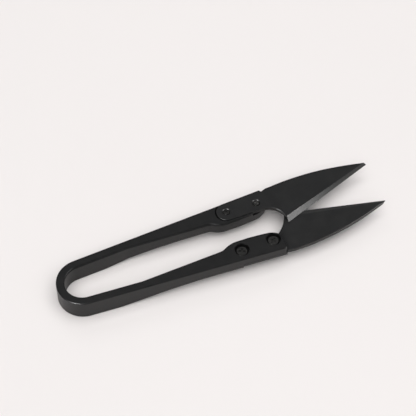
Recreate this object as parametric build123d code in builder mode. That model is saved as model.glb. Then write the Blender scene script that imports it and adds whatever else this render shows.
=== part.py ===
"""Thread snips: a one-piece spring bow handle, two ground blades and four cross-recess screws.

Frame: millimetres, +X from the bow to the tips, +Y to the far arm, +Z up.
The origin is the centre of the footprint on the table.
"""
import os

from build123d import *

os.makedirs("parts", exist_ok=True)

# ---- overall -------------------------------------------------------------------------------
length = 105.0          # bow apex to blade tips
handle_height = 7.2     # height of the flat top of the handle above the table
tip_y = 7.3             # distance of each tip from the middle when at rest

# ---- handle, seen from above ---------------------------------------------------------------
bow_outer_r = 8.0       # outside radius of the bow
strip = 2.5             # width of the springy strip
splay = 3.2             # degrees each arm leans out from the middle line
flex_reach = 8.5        # straight part of the bow, up to where the stiff arms begin
kink_x = -28.0          # where the arms start to widen inward
waist_x = -2.5          # start of the shoulder
waist_y = 5.25
nose_x = 16.9           # front end face of each arm
nose_in_y = 3.62        # inner edge of the nose
nose_end_y = 6.1        # inner end of the front face
edge_round = 0.35       # radius along the long handle edges
corner_r = 0.9          # rounded outer front corner

# ---- handle, seen from the side ------------------------------------------------------------
arm_front = 4.5         # thickness of an arm at the blades
taper_end_x = -3.0      # the underside has risen fully here
taper_mid = (-24.0, 1.5)
taper_start = 0.09      # slope of the underside where the arms begin

# ---- blades --------------------------------------------------------------------------------
blade_t = 1.5           # steel thickness
blade_gap = 0.04        # running gap between the two flat blade faces
slide_depth = 2.0       # depth of the plane the blades slide on, below the handle's top
lean = 3.2              # degrees both blades are turned the same way, far one outward
edge_angle = 16.4       # degrees between each cutting edge and the middle line, without the lean
shoulder = (19.3, 11.45)                                # corner of the neck
spine = ((22.0, 11.65), (29.0, 11.6), (38.0, 10.7), (46.0, 9.05))   # back of the blade
heel_curve = (19.9, 1.8)                                # midway round the relief behind the heel
heel_x = 21.3           # back end of the cutting edge
bevel_w = 1.4           # width of the ground bevel at the heel, seen from above
bevel_tip_w = 0.35      # and at the tip
edge_land = 0.12        # steel left standing at the cutting edge
tip_land = 0.45         # and at the tip
neck_inset = 0.65       # how far the blade steps in behind the arm's outer edge
set_length = 3.9        # length of the soft bend just ahead of the arms
rib = 0.65              # wall left beside the pocket
rib_end_x = 12.0        # where that wall stops short of the nose
pocket_gap = 0.25       # gap round the rear and inner sides of the tang

# ---- screws --------------------------------------------------------------------------------
far_screws = ((4.5, 7.5), (14.3, 7.25))         # rear and front, from above
near_screws = ((3.7, 7.0), (14.0, 6.95))        # the same for the near side, turned over
screw_d = 2.2           # thread diameter
thread_fit = 0.04       # diametral gap between thread and tapped hole
body_fit = 0.2          # diametral gap between thread and the hole through the arm
head_d = 3.5
head_h = 0.9
recess_d = 4.5          # counterbore diameter
shelf = 0.7             # arm left between the tang and a screw head
drive_l, drive_w, drive_h = 2.1, 0.55, 0.5      # cross recess in the head
tail_l, tail_w, tail_h = 1.4, 0.4, 0.3          # cross recess in the threaded end

# ---- derived -------------------------------------------------------------------------------
tip_x = length / 2
bow_x = bow_outer_r - length / 2
flex_x = bow_x + flex_reach
bow_inner_r = bow_outer_r - strip
arm_under = handle_height - arm_front
cut_z = handle_height - slide_depth             # plane the blades slide on
tang_z = handle_height - blade_t
seat_z = tang_z - shelf                         # where the heads of the far screws bear
blade_z = cut_z + blade_gap / 2
slope = Vector(1, 0).rotate(Axis.Z, splay)
turn_over = Axis((0, 0, cut_z), (1, 0, 0))      # half a turn here carries far onto near


def leg_y(radius, x):
    """Distance from the middle of the straight leg that leaves a bow circle tangentially."""
    start = Vector(bow_x, 0) + Vector(0, radius).rotate(Axis.Z, splay)
    return start.Y + (x - start.X) * slope.Y / slope.X


def tang_points(margin, screw_x):
    """Inner and rear sides of the tang round its rear screw, grown by a margin."""
    inner = nose_in_y + rib + pocket_gap - margin
    outer = leg_y(bow_outer_r, screw_x)
    rear = screw_x - (outer - inner) / 2 - margin
    return (screw_x, inner), (rear, (outer + inner) / 2), (screw_x, outer)


# ---- handle bow ----------------------------------------------------------------------------
with BuildPart() as handle_bow:
    with BuildSketch():
        with BuildLine():
            out_a = (bow_x - bow_outer_r * slope.Y, bow_outer_r * slope.X)
            in_a = (bow_x - bow_inner_r * slope.Y, bow_inner_r * slope.X)
            ThreePointArc(out_a, (-length / 2, 0), (out_a[0], -out_a[1]))
            Line((out_a[0], -out_a[1]), (flex_x, -leg_y(bow_outer_r, flex_x)))
            Line((flex_x, -leg_y(bow_outer_r, flex_x)), (flex_x, -leg_y(bow_inner_r, flex_x)))
            Line((flex_x, -leg_y(bow_inner_r, flex_x)), (in_a[0], -in_a[1]))
            ThreePointArc((in_a[0], -in_a[1]), (strip - length / 2, 0), in_a)
            Line(in_a, (flex_x, leg_y(bow_inner_r, flex_x)))
            Line((flex_x, leg_y(bow_inner_r, flex_x)), (flex_x, leg_y(bow_outer_r, flex_x)))
            Line((flex_x, leg_y(bow_outer_r, flex_x)), out_a)
        make_face()
    extrude(amount=handle_height)
    rims = handle_bow.edges().filter_by(lambda e: abs(e.tangent_at(0.5).Z) < 0.1)
    fillet(rims.filter_by(lambda e: e.center().X < flex_x - 0.1), radius=edge_round)

# ---- arm blank, far side -------------------------------------------------------------------
with BuildPart() as arm_blank:
    with BuildSketch():
        with BuildLine():
            kink = (kink_x, leg_y(bow_inner_r, kink_x))
            waist = (waist_x, waist_y)
            narrowing = (waist_x - kink_x, waist_y - kink[1])
            nose_front = (nose_x, nose_end_y)
            corner = (nose_x, leg_y(bow_outer_r, nose_x))
            Polyline((flex_x, leg_y(bow_inner_r, flex_x)), kink, waist)
            Spline(waist, (-0.4, 4.45), (1.8, nose_in_y + 0.08), (4.5, nose_in_y),
                   (7.5, nose_in_y + 0.06), (10.4, nose_in_y + 0.3), (12.5, nose_in_y + 0.48),
                   (13.6, nose_in_y + 0.63), (15.5, nose_in_y + 1.38), nose_front,
                   tangents=[narrowing, (1, 0.9)])
            Polyline(nose_front, corner, (flex_x, leg_y(bow_outer_r, flex_x)),
                     (flex_x, leg_y(bow_inner_r, flex_x)))
        make_face()
    extrude(amount=handle_height)
    fillet(arm_blank.edges().filter_by(Axis.Z).sort_by(lambda e: e.center().X + e.center().Y)[-1],
           radius=corner_r)
    with BuildSketch(Plane.XZ):
        with BuildLine():
            Spline((flex_x, 0), taper_mid, (taper_end_x, arm_under),
                   tangents=[(1, taper_start), (1, 0)])
            Polyline((taper_end_x, arm_under), (nose_x + 1, arm_under), (nose_x + 1, -1),
                     (flex_x, -1), (flex_x, 0))
        make_face()
    extrude(amount=-bow_outer_r * 2, mode=Mode.SUBTRACT)
    rims = arm_blank.edges().filter_by(lambda e: abs(e.tangent_at(0.5).Z) < 0.3)
    rims = rims.filter_by(lambda e: e.center().X > flex_x + 0.1)
    fillet(rims.filter_by(lambda e: abs(e.center().X - taper_end_x) > 0.1), radius=edge_round)

# ---- what is cut from an arm to take a blade and its screws ----------------------------------
def make_seat(rear_screw, front_screw):
    with BuildPart() as seat:
        with BuildSketch(Plane.XY.offset(tang_z)):
            with BuildLine():
                inner, rear, outer = tang_points(pocket_gap, rear_screw[0])
                beyond = leg_y(bow_outer_r, nose_x) + 1
                ThreePointArc(inner, rear, outer)
                Polyline(outer, (rear_screw[0], beyond), (nose_x + 1, beyond), (nose_x + 1, 0),
                         (rib_end_x, 0), (rib_end_x, inner[1]), inner)
            make_face()
        extrude(amount=arm_front)
        with BuildSketch(Plane.XY.offset(seat_z - 0.1)):
            with Locations(rear_screw, front_screw):
                Circle(screw_d / 2 + body_fit / 2)
        extrude(amount=shelf + 0.2)
        with BuildSketch(Plane.XY.offset(arm_under - 1)):
            with Locations(rear_screw, front_screw):
                Circle(recess_d / 2)
        extrude(amount=seat_z - arm_under + 1)
    return seat.part


with BuildPart() as handle_arm_far:
    add(arm_blank.part)
    add(make_seat(*far_screws), mode=Mode.SUBTRACT)

with BuildPart() as handle_arm_near:
    add(mirror(arm_blank.part, about=Plane.XZ, mode=Mode.PRIVATE))
    add(make_seat(*near_screws).rotate(turn_over, 180), mode=Mode.SUBTRACT)

# ---- blades, both drawn as if on the far side -------------------------------------------------
neck_x = nose_x + 0.5


def make_blade(rear_screw, front_screw, lean):
    def leaned(x, y):
        """A point of the blade turned about the neck."""
        at = Vector(neck_x, 9) + Vector(x - neck_x, y - 9).rotate(Axis.Z, lean)
        return at.X, at.Y

    edge_dir = Vector(1, 0).rotate(Axis.Z, edge_angle + lean)
    tip = Vector(*leaned(tip_x, tip_y))
    heel = tip - edge_dir * ((tip_x - heel_x) / edge_dir.X)
    with BuildPart() as blade:
        with BuildSketch(Plane.XZ):
            with BuildLine():
                bend = neck_x + set_length
                Line((0, tang_z), (neck_x, tang_z))
                Spline((neck_x, tang_z), (bend, blade_z), tangents=[(1, 0), (1, 0)])
                Polyline((bend, blade_z), (tip_x + 1, blade_z), (tip_x + 1, blade_z + blade_t),
                         (bend, blade_z + blade_t))
                Spline((bend, blade_z + blade_t), (neck_x, handle_height),
                       tangents=[(-1, 0), (-1, 0)])
                Polyline((neck_x, handle_height), (0, handle_height), (0, tang_z))
            make_face()
        extrude(amount=length / 4, both=True)
        with BuildSketch():
            with BuildLine():
                inner, rear, outer = tang_points(0, rear_screw[0])
                inner_end = (nose_x - 0.6, inner[1])
                arm_end = (nose_x, leg_y(bow_outer_r, nose_x))
                neck = (neck_x, arm_end[1] - neck_inset)
                ThreePointArc(inner, rear, outer)
                Polyline(outer, arm_end, neck, leaned(*shoulder))
                Spline(leaned(*shoulder), *(leaned(*p) for p in spine), (tip.X, tip.Y))
                Line((tip.X, tip.Y), (heel.X, heel.Y))
                ThreePointArc((heel.X, heel.Y), leaned(*heel_curve), inner_end)
                Line(inner_end, inner)
            make_face()
        extrude(amount=handle_height + 1, mode=Mode.INTERSECT)
        for at, width, land in ((heel, bevel_w, edge_land), (tip, bevel_tip_w, tip_land)):
            over = edge_dir * (1 if at is tip else -1)
            with BuildSketch(Plane(origin=at + over + Vector(0, 0, blade_z),
                                   x_dir=(-edge_dir.Y, edge_dir.X, 0), z_dir=edge_dir)):
                Polygon((-1, land), (0, land), (width, blade_t), (width, blade_t + 1),
                        (-1, blade_t + 1), align=None)
        loft(ruled=True, mode=Mode.SUBTRACT)
        with BuildSketch(Plane.XY.offset(tang_z)):
            with Locations(rear_screw, front_screw):
                Circle(screw_d / 2 + thread_fit / 2)
        extrude(amount=blade_t, mode=Mode.SUBTRACT)
    return blade.part


with BuildPart() as blade_far:
    add(make_blade(*far_screws, lean))

with BuildPart() as blade_near:
    add(make_blade(*near_screws, -lean).rotate(turn_over, 180))

# ---- screw, standing head down under the far arm, axis on Z -----------------------------------
with BuildPart() as screw:
    with BuildSketch(Plane.XY.offset(seat_z - head_h)):
        Circle(head_d / 2)
    extrude(amount=head_h)
    fillet(screw.edges().group_by(Axis.Z)[0], radius=head_h * 0.4)
    with BuildSketch(Plane.XY.offset(seat_z)):
        Circle(screw_d / 2)
    extrude(amount=handle_height - seat_z)
    with BuildSketch(Plane.XY.offset(seat_z - head_h)):
        Rectangle(drive_l, drive_w)
        Rectangle(drive_w, drive_l)
    extrude(amount=drive_h, mode=Mode.SUBTRACT)
    with BuildSketch(Plane.XY.offset(handle_height)):
        Rectangle(tail_l, tail_w)
        Rectangle(tail_w, tail_l)
    extrude(amount=-tail_h, mode=Mode.SUBTRACT)



def make_screw(at, turn):
    return screw.part.moved(Location((*at, 0), (0, 0, turn)))


with BuildPart() as screw_far_rear:
    add(make_screw(far_screws[0], 25))
with BuildPart() as screw_far_front:
    add(make_screw(far_screws[1], 50))
with BuildPart() as screw_near_rear:
    add(make_screw(near_screws[0], 25).rotate(turn_over, 180))
with BuildPart() as screw_near_front:
    add(make_screw(near_screws[1], 50).rotate(turn_over, 180))

# ---- files ---------------------------------------------------------------------------------
handle_bow.part.label = "handle_bow"
handle_arm_far.part.label = "handle_arm_far"
handle_arm_near.part.label = "handle_arm_near"
blade_far.part.label = "blade_far"
blade_near.part.label = "blade_near"
screw_far_rear.part.label = "screw_far_rear"
screw_far_front.part.label = "screw_far_front"
screw_near_rear.part.label = "screw_near_rear"
screw_near_front.part.label = "screw_near_front"
export_step(handle_bow.part, "parts/handle_bow.step")
export_step(handle_arm_far.part, "parts/handle_arm_far.step")
export_step(handle_arm_near.part, "parts/handle_arm_near.step")
export_step(blade_far.part, "parts/blade_far.step")
export_step(blade_near.part, "parts/blade_near.step")
export_step(screw_far_rear.part, "parts/screw_far_rear.step")
export_step(screw_far_front.part, "parts/screw_far_front.step")
export_step(screw_near_rear.part, "parts/screw_near_rear.step")
export_step(screw_near_front.part, "parts/screw_near_front.step")
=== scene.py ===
# %% [markdown]
# # Thread snips
# A small pair of spring snips for trimming thread. One moulded nylon strip makes both arms and the
# bow that pushes them apart. Two black coated blades lie in pockets in the arms, one let in from
# above and one from below, and each is held by two little cross-recess screws.
#
# This lesson builds the visible pieces round the imported CAD model. The model comes first, because
# the blades and screws ride on its bodies and every piece is measured against its solids.

# %% The imported model, as a fixed frame
import math

import bmesh
import bpy
import numpy as np
from mathutils import Matrix, Vector
from mathutils.bvhtree import BVHTree


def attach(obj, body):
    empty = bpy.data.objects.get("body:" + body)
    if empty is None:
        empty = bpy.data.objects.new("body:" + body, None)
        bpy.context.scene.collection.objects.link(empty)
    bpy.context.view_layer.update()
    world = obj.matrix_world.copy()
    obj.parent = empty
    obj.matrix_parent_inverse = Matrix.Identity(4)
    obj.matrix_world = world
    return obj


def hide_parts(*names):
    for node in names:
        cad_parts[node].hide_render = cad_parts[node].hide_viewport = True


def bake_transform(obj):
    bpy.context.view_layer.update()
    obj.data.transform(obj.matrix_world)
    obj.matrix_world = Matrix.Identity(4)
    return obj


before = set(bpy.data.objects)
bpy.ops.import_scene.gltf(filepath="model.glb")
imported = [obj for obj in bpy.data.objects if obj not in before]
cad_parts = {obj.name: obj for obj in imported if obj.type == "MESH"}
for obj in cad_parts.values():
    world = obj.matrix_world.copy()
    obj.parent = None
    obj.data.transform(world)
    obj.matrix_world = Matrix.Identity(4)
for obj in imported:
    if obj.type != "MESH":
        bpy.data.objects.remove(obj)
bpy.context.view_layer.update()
MM = 0.001

# %% [markdown]
# ## Camera and room
# The snips lie on a pale table and are seen from the front left, from well above, through a long
# lens, so the two arms hardly converge. The camera is placed by its direction round the object
# and its distance, which is easier to reason about than three coordinates.

# %% Camera
AZIMUTH, ELEVATION, DISTANCE = -21.77, 54.66, 463.7 * MM
TARGET = Vector((0.689, 13.065, 4.0)) * MM


def from_direction(azimuth, elevation):
    """A unit vector towards somewhere round the object; azimuth 0 is the front, -Y."""
    a, e = math.radians(azimuth), math.radians(elevation)
    return Vector((math.sin(a) * math.cos(e), -math.cos(a) * math.cos(e), math.sin(e)))


camera = bpy.data.objects.new("camera", bpy.data.cameras.new("camera"))
bpy.context.scene.collection.objects.link(camera)
camera.location = TARGET + from_direction(AZIMUTH, ELEVATION) * DISTANCE
camera.rotation_euler = from_direction(AZIMUTH, ELEVATION).to_track_quat("Z", "Y").to_euler()
camera.data.sensor_width = 36.0
camera.data.lens = 129.8
camera.data.clip_start = 0.01
bpy.context.scene.camera = camera
bpy.context.scene.view_settings.view_transform = "Standard"
print("camera at", [round(c, 4) for c in camera.location])

# %% [markdown]
# ## Light
# Black satin things are drawn by what they reflect, so light and reflections are set apart. A big
# soft light overhead and a weaker one behind light the table and make the pale shadows. Three more
# are only seen in reflections: a dim backdrop that greys the flat tops, a strip at the left for the
# thin glints on rounded edges, and a low panel at the right that picks out the ground bevel.

# %% Soft lights and a dim room
OVERHEAD, BEHIND, ROOM = 32.5, 1.6, 0.15
BACKDROP, GLINT, SHEEN = 3.0, 34.0, 14.0


def soft_light(name, azimuth, elevation, distance, size, power, reflected):
    """An area light facing the object: seen only in reflections, or never seen in them."""
    data = bpy.data.lights.new(name, "AREA")
    data.shape, data.energy = "RECTANGLE", power
    data.size, data.size_y = size
    lamp = bpy.data.objects.new(name, data)
    bpy.context.scene.collection.objects.link(lamp)
    toward = from_direction(azimuth, elevation)
    lamp.location = toward * distance
    lamp.rotation_euler = toward.to_track_quat("Z", "Y").to_euler()
    lamp.visible_diffuse, lamp.visible_glossy = not reflected, reflected


soft_light("soft_behind", 178, 42, 1.3, (0.8, 0.5), BEHIND, False)
soft_light("glint_left", -56, 46, 1.2, (0.14, 0.7), GLINT, True)
soft_light("sheen_right", 54, 26, 1.2, (0.6, 0.35), SHEEN, True)
soft_light("backdrop", 158, 55, 1.3, (1.7, 1.5), BACKDROP, True)
soft_light("soft_above", 0, 80, 1.5, (2.2, 2.2), OVERHEAD, False)

world = bpy.data.worlds.new("room")
bpy.context.scene.world = world
world.use_nodes = True
world.node_tree.nodes["Background"].inputs["Color"].default_value = (0.93, 0.95, 1.0, 1)
world.node_tree.nodes["Background"].inputs["Strength"].default_value = ROOM

# %% [markdown]
# ## Shader maths as expressions
# A procedural finish is arithmetic on positions. Wrapping a socket in a small class lets that
# arithmetic be written as Python: each operator adds the Math node it stands for. Everything else
# goes through one method that takes a node's type, its settings and what its sockets hold.

# %% Sockets that can be added and multiplied


class Link:
    """An output socket; operators on it add Math nodes to its tree."""

    def __init__(self, tree, socket):
        self.tree, self.socket = tree, socket

    def __add__(self, other):
        return math_node(self.tree, "ADD", self, other)

    def __sub__(self, other):
        return math_node(self.tree, "SUBTRACT", self, other)

    def __rsub__(self, other):
        return math_node(self.tree, "SUBTRACT", other, self)

    def __mul__(self, other):
        return math_node(self.tree, "MULTIPLY", self, other)

    def __truediv__(self, other):
        return math_node(self.tree, "DIVIDE", self, other)

    __radd__, __rmul__ = __add__, __mul__


def node(tree, kind, settings=None, out=0, **sockets):
    """Adds a node: settings first, then values or links by socket name, with _ for a space, or
    by socket number as i0, i1 and so on."""
    made = tree.nodes.new(kind)
    for key, value in (settings or {}).items():
        if key == "stops":
            ramp = made.color_ramp.elements
            while len(ramp) < len(value):
                ramp.new(0.5)
            for stop, (position, level) in zip(ramp, value):
                stop.position, stop.color = position, (level, level, level, 1)
        else:
            setattr(made, key, value)
    for key, value in sockets.items():
        name = key.replace("_", " ")
        socket = made.inputs[int(name[1:]) if name[0] == "i" and name[1:].isdigit() else name]
        if isinstance(value, Link):
            tree.links.new(value.socket, socket)
        else:
            socket.default_value = value
    return Link(tree, made.outputs[out])


def math_node(tree, operation, *values):
    """One Math node with its values in order."""
    sockets = {f"i{k}": v for k, v in enumerate(values)}
    return node(tree, "ShaderNodeMath", {"operation": operation}, **sockets)


# %% [markdown]
# ## Three black finishes
# All three are black, and what tells them apart is how they shine. Moulded nylon is satin, with a
# fine grain from the mould and faint flow lines along the strip. The blades have a baked coating
# over ground steel: cloudy on the flats, with grinding lines across the bevel that still show
# through. The screws are oiled black oxide, smoother than the rest, with a few paler specks.
#
# Grain and clouds read Object coordinates. Lines that follow a piece read its own UV map, which
# here holds real millimetres: along the strip or the cutting edge, and across it. A second map,
# "rub", says where an edge is worn, where the groove in the handle's inner wall is painted darker
# as shade, and how far across its bevel a point of a blade lies.

# %% Shared parts of the finishes


def new_finish(name):
    """A material with its Principled shader, object coordinates in mm, and the run map."""
    material = bpy.data.materials.new(name)
    material.use_nodes = True
    tree = material.node_tree
    shader = tree.nodes["Principled BSDF"]
    place = node(tree, "ShaderNodeTexCoord", out=3)
    place = node(tree, "ShaderNodeMapping", i0=place, Scale=(1 / MM,) * 3)
    run = node(tree, "ShaderNodeUVMap", {"uv_map": "run"})
    return material, tree, shader, place, run


def noise(tree, vector, scale, detail=2.0, roughness=0.5, stretch=(1, 1, 1), shift=(0, 0, 0)):
    """Noise with features about 1/scale across, drawn out by stretch."""
    vector = node(tree, "ShaderNodeMapping", i0=vector, Scale=stretch, Location=shift)
    return node(tree, "ShaderNodeTexNoise", Vector=vector, Scale=scale, Detail=detail,
                Roughness=roughness)


def ramp(tree, value, low, high):
    """0 below low, 1 above high, smooth between."""
    return node(tree, "ShaderNodeMapRange", {"interpolation_type": "SMOOTHSTEP"},
                Value=value, From_Min=low, From_Max=high)


def parts(tree, vector):
    """The x, y and z of a vector."""
    split = tree.nodes.new("ShaderNodeSeparateXYZ")
    tree.links.new(vector.socket, split.inputs[0])
    return [Link(tree, socket) for socket in split.outputs]


def tint(tree, factor, dark, light):
    """Two colours mixed by a factor."""
    made = tree.nodes.new("ShaderNodeMix")
    made.data_type = "RGBA"
    tree.links.new(factor.socket, made.inputs["Factor"])
    made.inputs["A"].default_value, made.inputs["B"].default_value = (*dark, 1), (*light, 1)
    return Link(tree, made.outputs["Result"])


def plug(tree, link, shader, socket):
    tree.links.new(link.socket, shader.inputs[socket])


def bump(tree, shader, height, depth_mm):
    """Height between 0 and 1 becomes relief depth_mm deep."""
    relief = node(tree, "ShaderNodeBump", Height=height, Distance=depth_mm * MM, Strength=1.0)
    plug(tree, relief, shader, "Normal")


# %% Moulded nylon for the handle


def moulded_nylon():
    material, tree, shader, place, run = new_finish("moulded_nylon")
    shader.inputs["IOR"].default_value = 1.37
    grain = noise(tree, place, 4.5, 3.0, 0.6)
    mottle = noise(tree, place, 0.32, 3.0, 0.55)
    flow = noise(tree, run, 1.0, 3.0, 0.6, stretch=(0.09, 2.6, 1))
    worn, groove_painted_shade, _ = parts(tree, node(tree, "ShaderNodeUVMap", {"uv_map": "rub"}))
    rub = ramp(tree, worn, 0.25, 1.0)
    shade = mottle * 0.5 + flow * 0.35 + grain * 0.15
    # painted shade: the floor of the inner wall's groove is coloured up to 90% darker, and rougher
    level = ramp(tree, shade, 0.3, 0.7) * (1 - groove_painted_shade * 0.9)
    colour = tint(tree, level, (0.0035, 0.0035, 0.0036), (0.0072, 0.0070, 0.0069))
    plug(tree, colour, shader, "Base Color")
    satin = 0.24 + mottle * 0.10 + flow * 0.12 + grain * 0.06 - rub * 0.08
    plug(tree, satin + groove_painted_shade * 0.4, shader, "Roughness")
    bump(tree, shader, grain * 0.55 + flow * 0.45, 0.016)
    return material


nylon = moulded_nylon()

# %% Coated blade steel


def coated_steel():
    material, tree, shader, place, run = new_finish("coated_steel")
    across = parts(tree, run)[1]
    shader.inputs["IOR"].default_value = 1.44
    grain = noise(tree, place, 6.0, 3.0, 0.6)
    clouds = noise(tree, place, 0.22, 4.0, 0.6, shift=(7, 3, 0))
    lengthwise = noise(tree, run, 1.0, 2.0, 0.6, stretch=(0.12, 5.0, 1))
    crosswise = noise(tree, run, 1.0, 2.0, 0.7, stretch=(7.0, 0.35, 1))
    share = parts(tree, node(tree, "ShaderNodeUVMap", {"uv_map": "rub"}))[0]
    ground = 1 - ramp(tree, share, 0.97, 1.03)
    ridge = ramp(tree, share, 0.88, 0.98) * (1 - ramp(tree, share, 1.02, 1.12))
    lip = 1 - ramp(tree, across, 0.05, 0.3)
    shade = clouds * 0.55 + lengthwise * 0.3 + grain * 0.15
    flat = tint(tree, ramp(tree, shade, 0.3, 0.7),
                (0.0072, 0.0072, 0.0074), (0.0125, 0.0123, 0.0121))
    bare = tint(tree, ramp(tree, crosswise, 0.25, 0.75),
                (0.030, 0.030, 0.030), (0.050, 0.049, 0.048))
    colour = tree.nodes.new("ShaderNodeMix")
    colour.data_type = "RGBA"
    tree.links.new((ground * 0.8 + ridge * 0.3 + lip * 0.2).socket, colour.inputs["Factor"])
    tree.links.new(flat.socket, colour.inputs["A"])
    tree.links.new(bare.socket, colour.inputs["B"])
    plug(tree, Link(tree, colour.outputs["Result"]), shader, "Base Color")
    plug(tree, 0.30 + clouds * 0.12 + lengthwise * 0.08 - ridge * 0.1, shader, "Roughness")
    plug(tree, 0.25 + ground * 0.35, shader, "Metallic")
    lines = lengthwise * (1 - ground) * 0.4 + crosswise * ground * 0.7
    bump(tree, shader, grain * 0.3 + lines, 0.012)
    return material


steel = coated_steel()

# %% Black oxide for the screws


def black_oxide():
    material, tree, shader, place, _ = new_finish("black_oxide")
    shader.inputs["IOR"].default_value = 1.55
    specks = noise(tree, place, 3.5, 3.0, 0.6)
    oil = noise(tree, place, 1.1, 2.0, 0.5, shift=(2, 5, 1))
    colour = tint(tree, ramp(tree, specks, 0.35, 0.7),
                  (0.012, 0.012, 0.012), (0.050, 0.048, 0.045))
    plug(tree, colour, shader, "Base Color")
    plug(tree, 0.14 + oil * 0.16, shader, "Roughness")
    plug(tree, 0.45 + specks * 0.3, shader, "Metallic")
    bump(tree, shader, specks, 0.006)
    return material


oxide = black_oxide()
print("finishes:", [m.name for m in (nylon, steel, oxide)])

# %% [markdown]
# ## The table
# A matt table top is enough: it takes the shadows and shines its own light back on the snips.

# %% Table top
TABLE_HALF = 3.0    # metres


def table_top():
    bm = bmesh.new()
    bmesh.ops.create_grid(bm, x_segments=1, y_segments=1, size=TABLE_HALF)
    mesh = bpy.data.meshes.new("table")
    bm.to_mesh(mesh)
    bm.free()
    table = bpy.data.objects.new("table", mesh)
    bpy.context.scene.collection.objects.link(table)
    material = bpy.data.materials.new("table_paint")
    material.use_nodes = True
    tree = material.node_tree
    shader = tree.nodes["Principled BSDF"]
    place = node(tree, "ShaderNodeTexCoord", out=3)
    cloud = noise(tree, place, 9.0, 2.0)
    paint = tint(tree, cloud, (0.855, 0.815, 0.798), (0.875, 0.835, 0.818))
    plug(tree, paint, shader, "Base Color")
    shader.inputs["Roughness"].default_value = 0.85
    shader.inputs["Specular IOR Level"].default_value = 0.2
    mesh.materials.append(material)
    return table


table_top()

# %% [markdown]
# ## Outlines and stacks
# Nearly every piece here is a flat outline with thickness and rounded edges. One helper stacks the
# outline into rings: each ring is the outline drawn in by a little and set at a height, so a few
# rings make a wall and a quarter round. It gives clean quads, and the same code also makes the
# cutters that sink the pockets and bores.

# %% Curves through points


def natural_curve(points, count, start=None, end=None):
    """A smooth cubic through plan points. Ends take a direction, or None to run out straight."""
    p = np.array(points, float)
    h = np.linalg.norm(np.diff(p, axis=0), axis=1)
    t = np.concatenate([[0], np.cumsum(h)])
    n = len(p)
    left, right = np.zeros((n, n)), np.zeros((n, 2))
    for i in range(1, n - 1):
        left[i, i - 1:i + 2] = h[i], 2 * (h[i - 1] + h[i]), h[i - 1]
        right[i] = 3 * (h[i] * (p[i] - p[i - 1]) / h[i - 1] + h[i - 1] * (p[i + 1] - p[i]) / h[i])
    for i, j, way in ((0, 1, start), (n - 1, n - 2, end)):
        if way is None:
            left[i, i], left[i, j] = 2, 1
            right[i] = 3 * (p[j] - p[i]) / (t[j] - t[i])
        else:
            left[i, i] = 1
            right[i] = np.array(way, float) / np.linalg.norm(way)
    slope = np.linalg.solve(left, right)
    out = []
    for u in np.linspace(0, t[-1], count):
        i = min(np.searchsorted(t, u, side="right") - 1, n - 2)
        s = (u - t[i]) / h[i]
        out.append(p[i] * (1 + 2 * s) * (1 - s) ** 2 + p[i + 1] * s * s * (3 - 2 * s)
                   + slope[i] * h[i] * s * (1 - s) ** 2 + slope[i + 1] * h[i] * s * s * (s - 1))
    return np.array(out)


def arc_through(a, b, c, count):
    """Points on the circle through three plan points, from a by b to c."""
    (ax, ay), (bx, by), (cx, cy) = a, b, c
    d = 2 * (ax * (by - cy) + bx * (cy - ay) + cx * (ay - by))
    sa, sb, sc = ax * ax + ay * ay, bx * bx + by * by, cx * cx + cy * cy
    centre = np.array([(sa * (by - cy) + sb * (cy - ay) + sc * (ay - by)) / d,
                       (sa * (cx - bx) + sb * (ax - cx) + sc * (bx - ax)) / d])
    angle = [math.atan2(q[1] - centre[1], q[0] - centre[0]) for q in (a, b, c)]
    span = (angle[2] - angle[0]) % math.tau
    if (angle[1] - angle[0]) % math.tau > span:
        span -= math.tau
    r = np.linalg.norm(np.array(a) - centre)
    t = angle[0] + span * np.linspace(0, 1, count)
    return centre + r * np.column_stack([np.cos(t), np.sin(t)])


def round_corner(before, corner, after, radius, count):
    """Points of the arc that rounds a corner between two neighbours."""
    corner = np.array(corner, float)
    u, v = np.array(before) - corner, np.array(after) - corner
    u, v = u / np.linalg.norm(u), v / np.linalg.norm(v)
    half = math.acos(np.clip(u @ v, -1, 1)) / 2
    reach = radius / math.tan(half)
    middle = corner + (u + v) / np.linalg.norm(u + v) * (radius / math.sin(half) - radius)
    return arc_through(corner + u * reach, middle, corner + v * reach, count)


# %% Rings stacked into a solid


def outward(points, closed):
    """Normals that point to the right of travel, long enough to offset a corner evenly."""
    p = np.array(points, float)
    step = np.roll(p, -1, 0) - p
    if not closed:
        step[-1] = step[-2]
    step /= np.linalg.norm(step, axis=1)[:, None]
    back = np.roll(step, 1, 0)
    if not closed:
        back[0] = step[0]
    a, b = (np.column_stack([s[:, 1], -s[:, 0]]) for s in (back, step))
    return (a + b) / (1 + np.maximum((a * b).sum(1), -0.6))[:, None]


SMOOTH_BELOW = 32   # degrees


def finish_mesh(name, bm, material):
    """Turns a bmesh in mm into an object in metres, outward and smooth over shallow edges."""
    bmesh.ops.recalc_face_normals(bm, faces=bm.faces)
    mesh = bpy.data.meshes.new(name)
    bm.to_mesh(mesh)
    bm.free()
    mesh.transform(Matrix.Scale(MM, 4))
    mesh.materials.append(material)
    mesh.shade_smooth()
    mesh.set_sharp_from_angle(angle=math.radians(SMOOTH_BELOW))
    made = bpy.data.objects.new(name, mesh)
    bpy.context.scene.collection.objects.link(made)
    return made


def prism(name, outline, rings, material):
    """A closed stack of rings, each (outset, height), on a counter-clockwise plan outline."""
    normals = outward(outline, True)
    bm = bmesh.new()
    levels = [[bm.verts.new((*(np.array(p) + q * out), z)) for p, q in zip(outline, normals)]
              for out, z in rings]
    for low, high in zip(levels, levels[1:]):
        for i in range(len(outline)):
            j = (i + 1) % len(outline)
            bm.faces.new((low[i], low[j], high[j], high[i]))
    bm.faces.new(levels[0][::-1])
    bm.faces.new(levels[-1])
    run = bm.loops.layers.uv.new("run")
    for face in bm.faces:
        for loop in face.loops:
            loop[run].uv = loop.vert.co.x, loop.vert.co.y + loop.vert.co.z
    return finish_mesh(name, bm, material)


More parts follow.
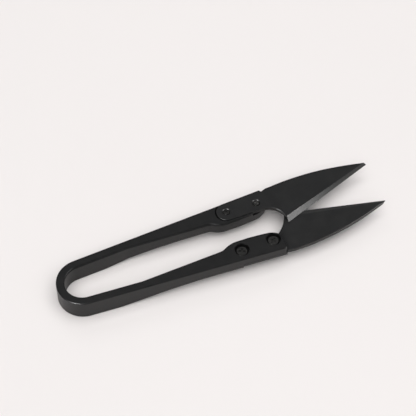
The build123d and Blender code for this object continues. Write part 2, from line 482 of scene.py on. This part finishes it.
def apply_modifiers(piece):
    """Replaces the piece's mesh by the one its modifiers make."""
    seen = piece.evaluated_get(bpy.context.evaluated_depsgraph_get())
    plain = bpy.data.meshes.new_from_object(seen)
    piece.modifiers.clear()
    plain.name = piece.name
    piece.data = plain


def cut(target, *cutters):
    """Takes the cutters out of the target and removes them."""
    for cutter in cutters:
        modifier = target.modifiers.new("cut", "BOOLEAN")
        modifier.operation, modifier.solver, modifier.object = "DIFFERENCE", "EXACT", cutter
    apply_modifiers(target)
    for cutter in cutters:
        bpy.data.objects.remove(cutter)


def weigh_normals(piece, angle):
    """Keeps big flats flat beside their narrow rounded edges, and edges over angle sharp."""
    piece.data.set_sharp_from_angle(angle=math.radians(angle))
    modifier = piece.modifiers.new("weights", "WEIGHTED_NORMAL")
    modifier.keep_sharp, modifier.weight = True, 100
    apply_modifiers(piece)


# %% [markdown]
# ## The handle
# The handle is one moulding: a bow of thin strip that acts as the spring, and two arms that widen
# towards the blades while their undersides rise off the table. Each half is its own mesh, closed at
# the very back of the bow, as a piece can bend between only two bodies; here neither half is set to
# bend. The halves meet on one plane in the same points, so no joint shows.
#
# An arm is drawn as an outer and an inner run of the same number of points. Pairs of points across
# the strip make tidy quads on the top and underside, which matters where the strip flexes. The
# inner wall has a shallow groove under its top edge, which fades out at the nose.

# %% Sizes of the handle, in mm
LENGTH, TOP = 105.0, 7.2
BOW_R, STRIP, SPLAY = 8.0, 2.5, math.radians(3.2)
BOW_X = BOW_R - LENGTH / 2
FLEX_X, KINK_X, NOSE_X = BOW_X + 8.5, -28.0, 16.9
WAIST, NOSE_IN, NOSE_WAY = (-2.5, 5.25), (NOSE_X, 6.1), (1, 0.9)    # the last is a direction
NOSE_Y = 3.62
INNER_EDGE = ((-0.4, 4.45), (1.8, NOSE_Y + 0.08), (4.5, NOSE_Y), (7.5, NOSE_Y + 0.06),
              (10.4, NOSE_Y + 0.3), (12.5, NOSE_Y + 0.48), (13.6, NOSE_Y + 0.63),
              (15.5, NOSE_Y + 1.38))
EDGE_R, CORNER_R, POINT_R = 0.35, 0.9, 0.5
ARM_UNDER = 2.7
TAPER_MID, TAPER_END, TAPER_SLOPE = (-24.0, 1.5), -3.0, 0.09
GROOVE, GROOVE_END, GROOVE_FADE = 0.28, 11.0, 4.0       # depth, where it ends, over how far
GROOVE_LOW, GROOVE_HIGH = 0.86, 0.36                    # below the top
SLANT_LOW, SLANT_HIGH = 0.06, 0.04                      # height of the groove's slanted sides
UNDERSIDE_SHIFT = 30.0      # keeps the flow lines of the underside apart from those of the top


def leg_y(radius, x):
    """Distance from the middle of the straight leg that leaves a bow circle."""
    x0, y0 = BOW_X - radius * math.sin(SPLAY), radius * math.cos(SPLAY)
    return y0 + (x - x0) * math.tan(SPLAY)


def underside():
    """Heights of the arms' underside against x."""
    run_in = natural_curve([(FLEX_X, 0), TAPER_MID, (TAPER_END, ARM_UNDER)], 80,
                           start=(1, TAPER_SLOPE), end=(1, 0))
    return run_in[:, 0], run_in[:, 1]


under_x, under_z = underside()


def bottom(x):
    return float(np.interp(x, under_x, under_z, left=0.0, right=ARM_UNDER))


# %% The two runs of an arm


def arm_runs():
    """Outer and inner plan points of the far half, in pairs from the back of the bow."""
    turn = np.linspace(math.pi, math.pi / 2 + SPLAY, 30)
    ring = np.column_stack([np.cos(turn), np.sin(turn)])
    outer = [(BOW_X, 0) + ring * BOW_R]
    inner = [(BOW_X, 0) + ring * (BOW_R - STRIP)]
    start_o, start_i = outer[0][-1][0], inner[0][-1][0]
    for end, count in ((KINK_X, 20), (WAIST[0], 16)):
        xo = np.linspace(start_o, end, count + 1)[1:]
        xi = np.linspace(start_i, end, count + 1)[1:]
        outer.append([(x, leg_y(BOW_R, x)) for x in xo])
        if end == KINK_X:
            inner.append([(x, leg_y(BOW_R - STRIP, x)) for x in xi])
        else:
            kink = leg_y(BOW_R - STRIP, KINK_X)
            inner.append([(x, np.interp(x, (KINK_X, end), (kink, WAIST[1]))) for x in xi])
        start_o = start_i = end
    narrowing = (WAIST[0] - KINK_X, WAIST[1] - leg_y(BOW_R - STRIP, KINK_X))
    waist = natural_curve([WAIST, *INNER_EDGE, NOSE_IN], 49, start=narrowing, end=NOSE_WAY)
    corner = (NOSE_X, leg_y(BOW_R, NOSE_X))
    around = round_corner((0, leg_y(BOW_R, 0)), corner, NOSE_IN, CORNER_R, 9)
    point = round_corner(corner, NOSE_IN, waist[-2], POINT_R, 5)
    keep = [p for p in waist[1:] if np.linalg.norm(p - NOSE_IN) > POINT_R * 1.2]
    front = around[-1] + (point[0] - around[-1]) * np.linspace(0, 1, 6)[1:-1, None]
    # the straight side takes as many points as bring both runs to the same number
    n_side = len(keep) - len(around) - len(front)
    side_x = np.linspace(WAIST[0], around[0][0], n_side + 2)[1:-1]
    outer += [[(x, leg_y(BOW_R, x)) for x in side_x], around, front, point[:3]]
    inner += [keep, point[::-1][:3]]
    return np.vstack(outer), np.vstack(inner)


outer_run, inner_run = arm_runs()
print("far half drawn with", len(outer_run), "+", len(inner_run), "points")

# %% [markdown]
# The rings of a half are open chains that start and end at the back of the bow, where one last face
# closes the section. Each face corner also gets its place along the strip and round it, in
# millimetres, which is what the flow lines of the nylon follow.

# %% A half of the handle


def handle_half(name, side):
    """side is 1 for the far half and -1 for the near half."""
    chain = np.vstack([outer_run, inner_run[::-1][1:]])
    n_out, n = len(outer_run), len(chain)
    normals = -outward(chain, False)
    normals[0], normals[-1] = (-1, 0), (1, 0)
    middle = (outer_run + inner_run) / 2
    run_length = np.concatenate([[0], np.cumsum(np.linalg.norm(np.diff(middle, axis=0), axis=1))])
    half_width = np.linalg.norm(outer_run - inner_run, axis=1) / 2
    pair = list(range(n_out)) + list(range(n_out - 2, -1, -1))
    sign = [1] * n_out + [-1] * (n - n_out)
    angles = np.radians(np.linspace(0, 90, 6))
    rings = [("low", EDGE_R * (1 - math.sin(a)), EDGE_R * (1 - math.cos(a))) for a in angles]
    rings += [("groove", 0, -GROOVE_LOW), ("groove", GROOVE, -GROOVE_LOW + SLANT_LOW),
              ("groove", GROOVE, -GROOVE_HIGH - SLANT_HIGH), ("groove", 0, -GROOVE_HIGH)]
    rings += [("high", inset, -drop) for kind, inset, drop in rings[len(angles) - 1::-1]]
    bm = bmesh.new()
    levels = []
    for kind, inset, lift in rings:
        level = []
        for i, (p, q) in enumerate(zip(chain, normals)):
            fade = 1.0
            if kind == "groove":
                fade = np.clip((GROOVE_END - p[0]) / GROOVE_FADE, 0, 1) if i >= n_out else 0.0
            x, y = p - q * inset * fade
            z = (bottom(x) if kind == "low" else TOP) + lift
            level.append(bm.verts.new((x, max(y, 0.0) * side, z)))
        levels.append(level)
    run, rub = bm.loops.layers.uv.new("run"), bm.loops.layers.uv.new("rub")

    def add(*corners):
        """One face from corners of (vertex, run, rub); a repeated vertex makes a triangle."""
        spec = {}
        for vertex, uv, wear in corners:
            spec.setdefault(vertex, (uv, wear))
        face = bm.faces.new(list(spec))
        for loop, (uv, wear) in zip(face.loops, spec.values()):
            loop[run].uv, loop[rub].uv = uv, wear

    def corner(k, i, flat=None):
        """A point's vertex, its place on the run map, how worn, and how much painted shade it gets.
        """
        kind, inset, _ = rings[k]
        u, w = run_length[pair[i]], half_width[pair[i]]
        v = sign[i] * (w - inset) if flat else sign[i] * (w + TOP - levels[k][i].co.z)
        v += UNDERSIDE_SHIFT if flat == "low" else 0
        worn = 0.0 if kind == "groove" else math.sin(math.pi * inset / EDGE_R)
        # painted shade: points on the floor of the inner wall's groove are marked for a darker
        # colour
        groove_painted_shade = 1.0 if kind == "groove" and inset > 0 and i >= n_out else 0.0
        return levels[k][i], (u, v), (worn, groove_painted_shade)

    for k in range(len(levels) - 1):
        for i in range(n - 1):
            add(corner(k, i), corner(k, i + 1), corner(k + 1, i + 1), corner(k + 1, i))
    for k, flat in ((0, "low"), (len(levels) - 1, "high")):
        for i in range(n_out - 1):
            add(*(corner(k, j, flat) for j in (i, i + 1, n - 2 - i, n - 1 - i)))
    bm.faces.new([level[0] for level in levels] + [level[-1] for level in levels[::-1]])
    return finish_mesh(name, bm, nylon)


handle_far = handle_half("handle_far_half", 1)
handle_near = handle_half("handle_near_half", -1)
print("faces in a blank half:", len(handle_far.data.polygons))

# %% [markdown]
# ## Pockets and bores
# The far arm takes its blade from above, so its pocket is open upwards and its screws go in from
# below. The near arm's seats are turned over about the line where the two blades slide on each
# other. The cutters are drawn as if for the far arm and turned for the near one. Their lips flare a
# little, which leaves a small broken edge round each opening.

# %% Sizes of the seats, in mm
TANG_Z, CUT_Z, BLADE_T = 5.7, 5.2, 1.5
SCREWS = {1: ((4.5, 7.5), (14.3, 7.25)), -1: ((3.7, 7.0), (14.0, 6.95))}    # rear, front by side
SCREW_R, BORE_R, RECESS_R, RECESS_TOP = 1.1, 1.2, 2.25, 5.0
RIB, GAP, RIB_END = 0.65, 0.25, 12.0
LIP, PAST_SIDE = 0.08, 0.02    # broken edge, and how far a pocket's arc leaves the arm


def tang_curve(margin, screw_x, count=25):
    """The inner and rear sides of the tang as an arc round its rear screw."""
    inner = NOSE_Y + RIB + GAP - margin
    outer = leg_y(BOW_R, screw_x)
    rear = screw_x - (outer - inner) / 2 - margin
    points = (screw_x, inner), (rear, (outer + inner) / 2), (screw_x, outer)
    return arc_through(*points, count)


def turn_over(piece):
    """Half a turn about the line y = 0, z = CUT_Z carries far pieces onto near ones."""
    piece.data.transform(Matrix.Diagonal((1, -1, -1, 1)))
    piece.data.transform(Matrix.Translation((0, 0, 2 * CUT_Z * MM)))
    return piece


def circle(centre, radius, count=64):
    t = np.linspace(0, math.tau, count, endpoint=False)
    return np.array(centre) + radius * np.column_stack([np.cos(t), np.sin(t)])


def pocket_cutter(name, screw_x, face_z):
    """Everything above the tang's seat, flared a little where it leaves the arm at face_z."""
    arc = tang_curve(GAP, screw_x)
    arc[-1] += (0, PAST_SIDE)
    inner_y, beyond = arc[0][1], leg_y(BOW_R, NOSE_X) + 1
    outline = np.vstack([arc[::-1], [(RIB_END, inner_y), (RIB_END, 0.5), (NOSE_X + 1, 0.5),
                                     (NOSE_X + 1, beyond), (screw_x, beyond)]])
    return prism(name, outline, [(0, TANG_Z), (0, face_z - LIP), (LIP * 0.3, face_z - LIP * 0.3),
                                 (LIP + 1e-3, face_z + 1e-3), (LIP + 0.05, face_z + 0.5)], nylon)


def bore_cutter(name, centre, face_z):
    """A clearance hole, then the wider recess for the head, open at face_z."""
    wider = RECESS_R - BORE_R
    return prism(name, circle(centre, BORE_R), [
        (wider + LIP + 0.1, face_z - 0.5), (wider + LIP, face_z - 1e-3),
        (wider + LIP * 0.3, face_z + LIP * 0.3), (wider, face_z + LIP),
        (wider, RECESS_TOP), (0, RECESS_TOP), (0, TANG_Z + 0.3)], nylon)


def seat_cutters(side):
    """The near side's faces are the far side's turned over, so its top is the bores' face."""
    pocket_face, bore_face = TOP, ARM_UNDER
    if side < 0:
        pocket_face, bore_face = 2 * CUT_Z - ARM_UNDER, 2 * CUT_Z - TOP
    rear, front = SCREWS[side]
    made = [bore_cutter("rear_bore", rear, bore_face), bore_cutter("front_bore", front, bore_face),
            pocket_cutter("pocket", rear[0], pocket_face)]
    return [turn_over(c) for c in made] if side < 0 else made


cut(handle_far, *seat_cutters(1))
cut(handle_near, *seat_cutters(-1))
for half in (handle_far, handle_near):
    weigh_normals(half, 34)
print("faces in a cut half:", len(handle_far.data.polygons))

# %% [markdown]
# ## Blades
# Each blade is cut from one flat strip: a round-ended tang over the screws, a neck with a small
# set that brings the blade to the sliding plane, a curved back, and a straight cutting edge with
# a ground bevel. Behind the heel a round relief keeps the edges clear of the arms.
#
# It starts as a stack with rounded edges, kept sharp along the cutting edge. Then the flat is bent
# at the neck by moving points in height only. The bevel is ground by lowering points onto its
# slanting surface, which narrows towards the tip and leaves more steel standing there.

# %% Sizes of a blade, in mm
EDGE_ANGLE = math.radians(16.4)
LEAN, LEAN_Y = math.radians(3.2), 9.0    # turned in plan about (NECK_X, LEAN_Y)
TIP = (LENGTH / 2, 7.3)
SHOULDER = (19.3, 11.45)
BACK = ((22.0, 11.65), (29.0, 11.6), (38.0, 10.7), (46.0, 9.05))
HEEL_CURVE, HEEL_X, RELIEF_END = (19.9, 1.8), 21.3, NOSE_X - 0.6
BEVEL, TIP_BEVEL = 1.4, 0.35
LAND, TIP_LAND = 0.12, 0.45
NECK_IN, SET = 0.65, 3.9
FLATS_APART = 0.04
BLADE_Z = CUT_Z + FLATS_APART / 2
NECK_X = NOSE_X + 0.5
ROUND, SINK, FREE = 0.22, 0.16, 0.02    # edge rounding; countersink and play of a tapped hole


class BladePlan:
    """One blade seen from above, as if on the far side, with everything past the neck leaned."""

    def __init__(self, rear_screw, lean):
        turn = np.array([[math.cos(lean), -math.sin(lean)], [math.sin(lean), math.cos(lean)]])
        pivot = np.array([NECK_X, LEAN_Y])

        def leaned(point):
            return pivot + turn @ (np.array(point) - pivot)

        self.way = np.array([math.cos(EDGE_ANGLE + lean), math.sin(EDGE_ANGLE + lean)])
        self.side = np.array([-self.way[1], self.way[0]])
        self.tip = leaned(TIP)
        self.heel = self.tip - self.way * ((self.tip[0] - HEEL_X) / self.way[0])
        self.reach = float(np.linalg.norm(self.tip - self.heel))
        arc = tang_curve(0, rear_screw[0])[::-1]
        arm_end = np.array([NOSE_X, leg_y(BOW_R, NOSE_X)])
        neck = np.array([NECK_X, arm_end[1] - NECK_IN])
        back = natural_curve([leaned(p) for p in (SHOULDER, *BACK, TIP)], 40)
        neck_line = neck + (back[0] - neck) * np.linspace(0, 1, 5)[:-1, None]
        relief = arc_through(self.heel, leaned(HEEL_CURVE), (RELIEF_END, arc[-1][1]), 28)
        edge = self.tip + (self.heel - self.tip) * np.linspace(0, 1, 24)[1:-1, None]
        shoulder = round_corner(arc[0], arm_end, neck, 0.2, 4)
        self.outline = np.vstack([arc, relief[::-1], edge[::-1], back[::-1], neck_line[::-1],
                                  shoulder[::-1]])
        self.soft = np.ones(len(self.outline))
        first = len(arc) + len(relief)
        self.soft[first - 1:first + len(edge) + 1] = 0
        self.soft[first - 2], self.soft[first + len(edge) + 1] = 0.5, 0.5

    def along_across(self, point):
        """How far a point is along the edge from the heel, and how far back from the edge."""
        d = np.array(point) - self.heel
        return float(d @ self.way), float(d @ self.side)

    def bevel(self, along):
        """Width of the bevel and steel left at the edge. Both change evenly, from 1 mm behind
        the heel to 1 mm past the tip."""
        u = (along + 1) / (self.reach + 2)
        return BEVEL + (TIP_BEVEL - BEVEL) * u, LAND + (TIP_LAND - LAND) * u


def bend(x):
    """How far the flat has dropped from the tang's height at x."""
    s = np.clip((x - NECK_X) / SET, 0, 1)
    return (TANG_Z - BLADE_Z) * s * s * (3 - 2 * s)


# %% A blade


def slice_mesh(bm, point, normal):
    bmesh.ops.bisect_plane(bm, geom=bm.verts[:] + bm.edges[:] + bm.faces[:], dist=1e-5,
                           plane_co=point, plane_no=normal)


def make_blade(name, side):
    plan = BladePlan(SCREWS[side][0], LEAN * side)
    normals = outward(plan.outline, True)
    angles = np.radians(np.linspace(0, 90, 4))
    rings = [(ROUND * (1 - math.sin(a)), TANG_Z + ROUND * (1 - math.cos(a))) for a in angles]
    rings += [(ROUND * (1 - math.cos(a)), TOP - ROUND * (1 - math.sin(a))) for a in angles]
    bm = bmesh.new()
    levels = [[bm.verts.new((*(p - q * inset * s), z))
               for p, q, s in zip(plan.outline, normals, plan.soft)] for inset, z in rings]
    count = len(plan.outline)
    for low, high in zip(levels, levels[1:]):
        for i in range(count):
            j = (i + 1) % count
            bm.faces.new((low[i], low[j], high[j], high[i]))
    bm.faces.new(levels[0][::-1])
    bm.faces.new(levels[-1])
    for x in np.linspace(NECK_X, NECK_X + SET, 11):
        slice_mesh(bm, (x, 0, 0), (1, 0, 0))
    for v in bm.verts:
        v.co.z -= bend(v.co.x)
    # lines the bevel follows: its upper border, then cross lines down to the edge
    ends = [plan.heel + plan.way * s + plan.side * plan.bevel(s)[0] for s in (0, plan.reach)]
    border = ends[1] - ends[0]
    slice_mesh(bm, (*ends[0], 0), (-border[1], border[0], 0))
    for s in np.linspace(0, plan.reach, 14)[:-1]:
        slice_mesh(bm, (*(plan.heel + plan.way * s), 0), (*plan.way, 0))
    for v in bm.verts:
        along, across = plan.along_across(v.co.xy)
        wide, land = plan.bevel(along)
        if v.co.x > NECK_X + SET * 0.5 and across < wide:
            ceiling = BLADE_Z + land + (BLADE_T - land) * max(across, 0) / wide
            v.co.z = min(v.co.z, ceiling)
    bmesh.ops.remove_doubles(bm, verts=bm.verts, dist=2e-4)
    bmesh.ops.dissolve_degenerate(bm, dist=2e-4, edges=bm.edges)
    run, rub = bm.loops.layers.uv.new("run"), bm.loops.layers.uv.new("rub")
    for face in bm.faces:
        for loop in face.loops:
            along, across = plan.along_across(loop.vert.co.xy)
            loop[run].uv = along, across
            loop[rub].uv = across / plan.bevel(along)[0], 0
    return finish_mesh(name, bm, steel)


def tapped_hole(name, centre):
    """A hole with a small countersink at the visible face of the tang."""
    return prism(name, circle(centre, SCREW_R + FREE, 48),
                 [(0, TANG_Z - 0.5), (0, TOP - SINK), (SINK + 1e-3, TOP + 1e-3),
                  (0.2, TOP + 0.4)], steel)


blade_far, blade_near = make_blade("blade_far_ground", 1), make_blade("blade_near_ground", -1)
for blade, side in ((blade_far, 1), (blade_near, -1)):
    cut(blade, *(tapped_hole("hole", place) for place in SCREWS[side]))
    weigh_normals(blade, 20)
turn_over(blade_near)
print("faces in a blade:", len(blade_far.data.polygons))

# %% [markdown]
# ## Screws
# Four identical machine screws. A thread is a shape that follows a rule, which suits Geometry
# Nodes: a finely divided cylinder whose radius is set from its height and its angle, so that the
# crest climbs one pitch in each turn. The head is a second cylinder with a rounded rim, and crossed
# bars are taken out of the head and of the threaded end for the recesses.

# %% A tree that makes one screw
SCREW_SIZES = {     # mm
    "Thread radius": SCREW_R, "Thread depth": 0.22, "Pitch": 0.4, "Thread length": 2.2,
    "Head radius": 1.75, "Head height": 0.9, "Head rounding": 0.36, "Dome": 0.1,
    "Recess length": 2.1, "Recess width": 0.55, "Recess depth": 0.5,
    "End recess length": 1.4, "End recess width": 0.4, "End recess depth": 0.3}


def screw_tree():
    tree = bpy.data.node_groups.new("machine_screw", "GeometryNodeTree")
    sockets = {}

    def value(name, kind="NodeSocketFloat", default=None):
        socket = tree.interface.new_socket(name, in_out="INPUT", socket_type=kind)
        if default is not None:
            socket.default_value = default
        sockets[name] = socket.identifier

    for name, size in SCREW_SIZES.items():
        value(name, default=size * MM)
    value("Place", "NodeSocketVector")
    value("Turn", "NodeSocketRotation")
    value("Finish", "NodeSocketMaterial")
    tree.interface.new_socket("Screw", in_out="OUTPUT", socket_type="NodeSocketGeometry")
    group = tree.nodes.new("NodeGroupInput")
    given = {s.name: Link(tree, s) for s in group.outputs if s.name}

    def maths(operation, *values):
        return math_node(tree, operation, *values)

    x, y, z = parts(tree, node(tree, "GeometryNodeInputPosition"))
    out = maths("SQRT", x * x + y * y)

    def vector(a, b, c):
        return node(tree, "ShaderNodeCombineXYZ", X=a, Y=b, Z=c)

    def move(shape, factor, height):
        return node(tree, "GeometryNodeSetPosition", Geometry=shape,
                    Position=vector(x * factor, y * factor, height))

    # thread: crest where height / pitch and angle agree, rounded off to nothing at the end
    radius, length = given["Thread radius"], given["Thread length"]
    half = length * 0.5
    fan = {"fill_type": "TRIANGLE_FAN"}
    rod = node(tree, "GeometryNodeMeshCylinder", fan, Vertices=36, Side_Segments=52,
               Fill_Segments=4, Radius=radius, Depth=length)
    angle = maths("ARCTAN2", y, x) / math.tau
    wave = maths("PINGPONG", maths("FRACT", z / given["Pitch"] - angle + 8.0) * 2.0, 1.0)
    end = maths("MAXIMUM", 1 - (half - z) / (radius * 0.24), 0.0)
    start = maths("MAXIMUM", 1 - (half + z) / (radius * 0.3), 0.0)
    groove = given["Thread depth"] * wave * (1 - end) * (1 - start)
    narrow = (groove + end * radius * 0.16) / radius
    fall = out / radius
    cap = maths("GREATER_THAN", z, half * 0.999) * given["Dome"] * (fall * fall)
    rod = move(rod, 1 - narrow, z + half - cap)

    # head: below the seat, its outer rim rounded and its middle slightly domed
    deep, across, rounding = given["Head height"], given["Head radius"], given["Head rounding"]
    head = node(tree, "GeometryNodeMeshCylinder", fan, Vertices=48, Side_Segments=20,
                Fill_Segments=5, Radius=across, Depth=deep)
    t = maths("MAXIMUM", (rounding - (z + deep * 0.5)) / rounding, 0.0)
    inset = rounding * (1 - maths("SQRT", maths("MAXIMUM", 1 - t * t, 0.0))) / across
    spread = out / across
    bowl = maths("LESS_THAN", z, deep * -0.499) * given["Dome"] * (spread * spread)
    head = move(head, 1 - inset, z - deep * 0.5 + bowl + radius * 0.02)

    body = node(tree, "GeometryNodeMeshBoolean", {"operation": "UNION", "solver": "EXACT"},
                Mesh_2=rod)
    tree.links.new(head.socket, body.socket.node.inputs["Mesh 2"])

    def bar(recess, height, crosswise):
        """One bar of a cross, half of it above or below the face it sinks into."""
        long, wide = given[recess + " length"], given[recess + " width"]
        thick = given[recess + " depth"] * 2
        size = vector(wide, long, thick) if crosswise else vector(long, wide, thick)
        cube = node(tree, "GeometryNodeMeshCube", Size=size)
        return node(tree, "GeometryNodeTransform", Geometry=cube,
                    Translation=vector(0.0, 0.0, height))

    recessed = node(tree, "GeometryNodeMeshBoolean",
                    {"operation": "DIFFERENCE", "solver": "EXACT"}, Mesh_1=body)
    for recess, height in (("Recess", deep * -1.0), ("End recess", length)):
        for crosswise in (False, True):
            made = bar(recess, height, crosswise)
            tree.links.new(made.socket, recessed.socket.node.inputs["Mesh 2"])
    placed = node(tree, "GeometryNodeTransform", Geometry=recessed,
                  Translation=given["Place"], Rotation=given["Turn"])
    real = node(tree, "GeometryNodeRealizeInstances", Geometry=placed)
    done = node(tree, "GeometryNodeSetMaterial", Geometry=real, Material=given["Finish"])
    output = tree.nodes.new("NodeGroupOutput")
    tree.links.new(done.socket, output.inputs[0])
    return tree, sockets


screw_nodes, screw_inputs = screw_tree()

# %% The four screws


def make_screw(name, place, turn, side):
    """side 1 stands head down under the far arm; side -1 is the same screw turned over."""
    x, y = place
    made = bpy.data.objects.new(name, bpy.data.meshes.new(name))
    bpy.context.scene.collection.objects.link(made)
    modifier = made.modifiers.new("screw", "NODES")
    modifier.node_group = screw_nodes
    seat = RECESS_TOP if side > 0 else 2 * CUT_Z - RECESS_TOP
    modifier[screw_inputs["Place"]] = Vector((x, y * side, seat)) * MM
    modifier[screw_inputs["Turn"]] = (0 if side > 0 else math.pi, 0, math.radians(turn) * side)
    modifier[screw_inputs["Finish"]] = oxide
    apply_modifiers(made)
    made.data.shade_smooth()
    weigh_normals(made, 40)
    return made


TURNS = (25, 50)    # degrees that the crosses of a rear and a front screw are turned
screws = {}
for side, body, arm in ((1, "far_side", "far"), (-1, "near_side", "near")):
    for where, place, turn in zip(("rear", "front"), SCREWS[side], TURNS):
        piece = make_screw(f"screw_{arm}_{where}_threaded", place, turn, side)
        screws[piece.name] = piece
        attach(piece, body)
        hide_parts(f"screw_{arm}_{where}")
        print(piece.name, len(piece.data.polygons), "faces")

# %% [markdown]
# ## Pieces on their bodies
# The blades ride on their arms. The handle halves are not set to bend: their place is baked into
# their points, and the bend sizes below are not used. Each new piece hides the CAD piece it
# stands for.

# %% Riding and replacing
BEND_FROM, BEND_TO, BEND_Y, BEND_Z = -46.0, -26.0, 7.0, 3.6     # mm

for piece, body, cad in ((blade_far, "far_side", "blade_far"),
                         (blade_near, "near_side", "blade_near")):
    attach(piece, body)
    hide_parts(cad)
for piece, body, cad, side in ((handle_far, "far_side", "handle_arm_far", 1),
                               (handle_near, "near_side", "handle_arm_near", -1)):
    start, end = ((x * MM, side * BEND_Y * MM, BEND_Z * MM) for x in (BEND_FROM, BEND_TO))
    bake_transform(piece)
    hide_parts(cad, *(["handle_bow"] if side > 0 else []))

# %% [markdown]
# ## A check against the solids
# The visible pieces must not grow out of the CAD. This measures how far each one strays from the
# surface of the solids it stands for.

# %% Distance from the CAD


def stray(piece, *cad):
    """Largest and mean distance from the piece's points to the CAD surface, in mm."""
    points, faces = [], []
    for name in cad:
        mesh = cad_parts[name].data
        base = len(points)
        points += [v.co / MM for v in mesh.vertices]
        faces += [tuple(base + i for i in p.vertices) for p in mesh.polygons]
    tree = BVHTree.FromPolygons(points, faces)
    far = [tree.find_nearest(v.co / MM)[3] for v in piece.data.vertices]
    return round(max(far), 3), round(sum(far) / len(far), 3)


print("far handle", stray(handle_far, "handle_bow", "handle_arm_far"))
print("near handle", stray(handle_near, "handle_bow", "handle_arm_near"))
print("blades", stray(blade_far, "blade_far"), stray(blade_near, "blade_near"))
for name, piece in screws.items():
    print(name, stray(piece, name.replace("_threaded", "")))
